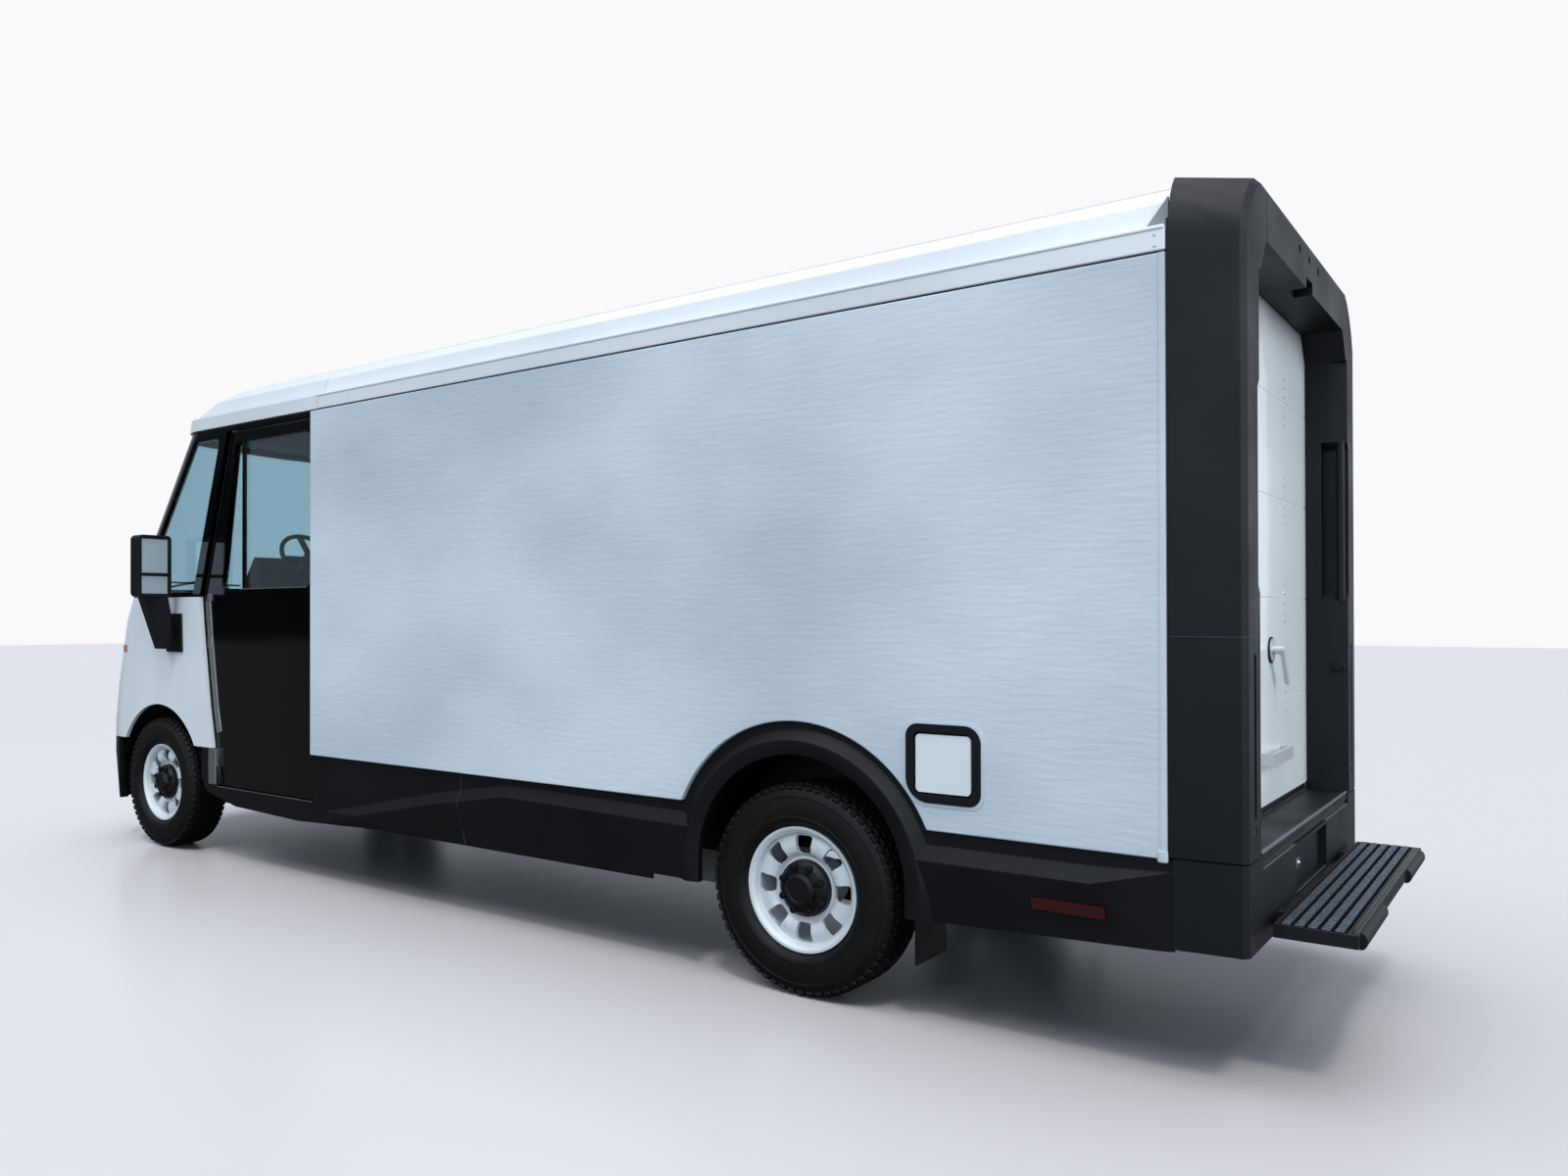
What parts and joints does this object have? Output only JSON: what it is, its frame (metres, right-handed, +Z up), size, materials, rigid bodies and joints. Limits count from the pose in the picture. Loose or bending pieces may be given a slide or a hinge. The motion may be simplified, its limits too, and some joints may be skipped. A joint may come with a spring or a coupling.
{
  "type": "electric cargo van",
  "caption": "Walk-through electric delivery van with a composite load box, sliding cab doors, roll-up rear door and grated rear step.",
  "frame": {"origin": "on the ground under the centre of the bounding box", "axes": "-Y forwards, +X to the vehicle's left, +Z up"},
  "size_m": [2.524, 7.361, 2.779],
  "materials": {
    "white_paint": "gloss",
    "composite_panel": "gloss, woven texture",
    "black_plastic": "grained",
    "black_gloss": "gloss",
    "chassis_steel": "semi-gloss",
    "cast_alloy": "as cast",
    "aluminium": "satin",
    "glass": "clear",
    "interior_plastic": "grained",
    "seat_cloth": "woven",
    "floor_ply": "coated",
    "wheel_paint": "gloss",
    "tyre": "matt",
    "rubber": "matt",
    "red_lens": "gloss",
    "clear_lens": "gloss"
  },
  "bodies": {
    "van_body": {"chassis_rails": "chassis_steel", "front_rails": "chassis_steel", "battery_pack": "cast_alloy", "front_subframe": "chassis_steel", "drive_units": "cast_alloy", "rear_axle": "chassis_steel", "cargo_floor": "floor_ply", "side_panel_left": "composite_panel", "side_panel_right": "composite_panel", "inner_wall_left": "aluminium", "inner_wall_right": "aluminium", "roof": "white_paint", "cab_roof": "white_paint", "rear_post_left": "black_plastic", "rear_post_right": "black_plastic", "rear_header": "black_plastic", "rear_door": "white_paint", "rear_door_handles": "aluminium", "rear_sill": "black_plastic", "rear_step": "chassis_steel", "cladding_left": "black_plastic", "cladding_right": "black_plastic", "front_bumper": "black_plastic", "front_body": "white_paint", "cab_frame": "black_gloss", "windshield": "glass", "quarter_glass": "glass", "cab_floor": "interior_plastic", "wheelhouses": "black_plastic", "bulkhead": "aluminium", "dashboard": "interior_plastic", "driver_seat": "seat_cloth", "mirrors": "black_plastic", "front_lamps": "clear_lens", "rear_lamps": "red_lens", "mudflaps": "rubber", "charge_port": "black_plastic"},
    "left_door": {"door_left": "black_gloss", "door_glass_left": "glass"},
    "right_door": {"door_right": "black_gloss", "door_glass_right": "glass"},
    "charge_lid": {"charge_flap": "white_paint"},
    "hood_lid": {"hood": "white_paint"},
    "steering": {"steering_wheel": "interior_plastic"},
    "knuckle_l": {"knuckle_left": "cast_alloy"},
    "knuckle_r": {"knuckle_right": "cast_alloy"},
    "wheel_front_left_body": {"wheel_front_left": "wheel_paint", "tyre_front_left": "tyre"},
    "wheel_front_right_body": {"wheel_front_right": "wheel_paint", "tyre_front_right": "tyre"},
    "wheel_rear_left_body": {"wheel_rear_left": "wheel_paint", "tyre_rear_left": "tyre"},
    "wheel_rear_right_body": {"wheel_rear_right": "wheel_paint", "tyre_rear_right": "tyre"}
  },
  "joints": [
    {"name": "left_door_slide", "type": "slide", "parent": "van_body", "child": "left_door", "axis": [0, 1, 0], "range_m": [0, 1.04]},
    {"name": "right_door_slide", "type": "slide", "parent": "van_body", "child": "right_door", "axis": [0, 1, 0], "range_m": [0, 1.04]},
    {"name": "charge_lid_hinge", "type": "hinge", "parent": "van_body", "child": "charge_lid", "pos_m": [1.031, 2.3595, 0.92], "axis": [0, 0, -1], "range_deg": [0, 100]},
    {"name": "hood_hinge", "type": "hinge", "parent": "van_body", "child": "hood_lid", "pos_m": [0, -3.4805, 1.516], "axis": [-1, 0, 0], "range_deg": [0, 50]},
    {"name": "steer_left", "type": "hinge", "parent": "van_body", "child": "knuckle_l", "pos_m": [0.8, -2.7955, 0.3995], "axis": [0, 0, 1], "range_deg": [-35, 35]},
    {"name": "steer_right", "type": "hinge", "parent": "van_body", "child": "knuckle_r", "pos_m": [-0.8, -2.7955, 0.3995], "axis": [0, 0, 1], "range_deg": [-35, 35]},
    {"name": "steering_turn", "type": "hinge", "parent": "van_body", "child": "steering", "pos_m": [0.48, -1.9455, 1.78], "axis": [0, 0.766, 0.6428], "range_deg": [-560, 560]},
    {"name": "wheel_fl_spin", "type": "hinge", "parent": "knuckle_l", "child": "wheel_front_left_body", "pos_m": [0.975, -2.7955, 0.3995], "axis": [1, 0, 0], "continuous": true},
    {"name": "wheel_fr_spin", "type": "hinge", "parent": "knuckle_r", "child": "wheel_front_right_body", "pos_m": [-0.975, -2.7955, 0.3995], "axis": [1, 0, 0], "continuous": true},
    {"name": "wheel_rl_spin", "type": "hinge", "parent": "van_body", "child": "wheel_rear_left_body", "pos_m": [0.975, 1.8655, 0.3995], "axis": [1, 0, 0], "continuous": true},
    {"name": "wheel_rr_spin", "type": "hinge", "parent": "van_body", "child": "wheel_rear_right_body", "pos_m": [-0.975, 1.8655, 0.3995], "axis": [1, 0, 0], "continuous": true}
  ],
  "couplings": [
    {"joint": "steer_right", "follows": "steer_left", "ratio": 1},
    {"joint": "steering_turn", "follows": "steer_left", "ratio": 16}
  ]
}
